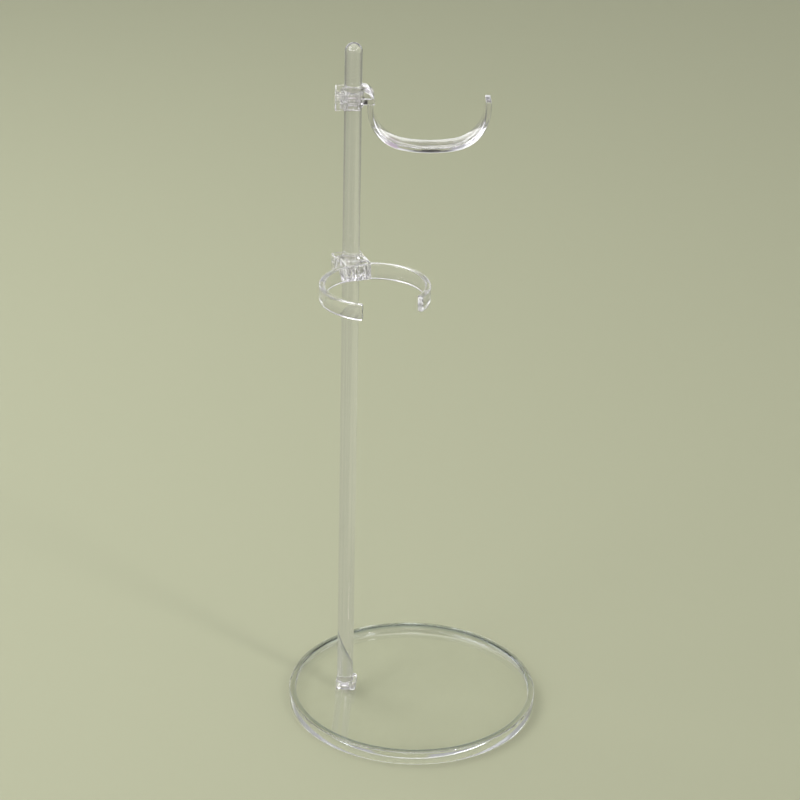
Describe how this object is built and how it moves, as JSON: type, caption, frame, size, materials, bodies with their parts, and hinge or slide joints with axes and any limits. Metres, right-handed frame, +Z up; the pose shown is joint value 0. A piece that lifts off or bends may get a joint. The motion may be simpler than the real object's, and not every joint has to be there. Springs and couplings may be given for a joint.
{
  "type": "adjustable display stand with saddle hook and ring",
  "caption": "All-clear upright holder: round tray base, pole, and two sliding clips that carry a U-shaped saddle hook and an open C-shaped band.",
  "frame": {"origin": "centre of the round base's underside, on the surface it stands on", "axes": "+Z up along the pole; the pole stands on the -X side of the base; the saddle hook reaches roughly along +X at rest"},
  "size_m": [0.152, 0.152, 0.422],
  "materials": {
    "clear_base": "clear moulded acrylic, polished, faint green cast at the edges",
    "clear_rod": "clear extruded acrylic rod, faint grey cast and draw lines",
    "clear_moulding": "clear injection-moulded plastic, polished, crisp edges",
    "clear_strap": "clear injection-moulded plastic strap with slight flow marks",
    "clear_sleeve": "clear flexible plastic sleeve, smooth"
  },
  "bodies": {
    "stand": {"base_tray": "clear_base", "foot_socket": "clear_moulding", "pole": "clear_rod"},
    "hook_slider": {"hook_collar": "clear_sleeve"},
    "hook_arm": {"hook_block": "clear_moulding", "hook_saddle": "clear_strap"},
    "ring_slider": {"ring_collar": "clear_sleeve"},
    "ring_arm": {"ring_block": "clear_moulding", "ring_band": "clear_strap"}
  },
  "joints": [
    {"name": "hook_slide", "type": "slide", "parent": "stand", "child": "hook_slider", "axis": [0, 0, 1], "range_m": [-0.03, 0.022]},
    {"name": "hook_swivel", "type": "hinge", "parent": "hook_slider", "child": "hook_arm", "pos_m": [-0.0418, 0, 0.3897], "axis": [0, 0, 1], "continuous": true},
    {"name": "ring_slide", "type": "slide", "parent": "stand", "child": "ring_slider", "axis": [0, 0, 1], "range_m": [-0.27, 0.03]},
    {"name": "ring_swivel", "type": "hinge", "parent": "ring_slider", "child": "ring_arm", "pos_m": [-0.0418, 0, 0.2883], "axis": [0, 0, 1], "continuous": true}
  ]
}
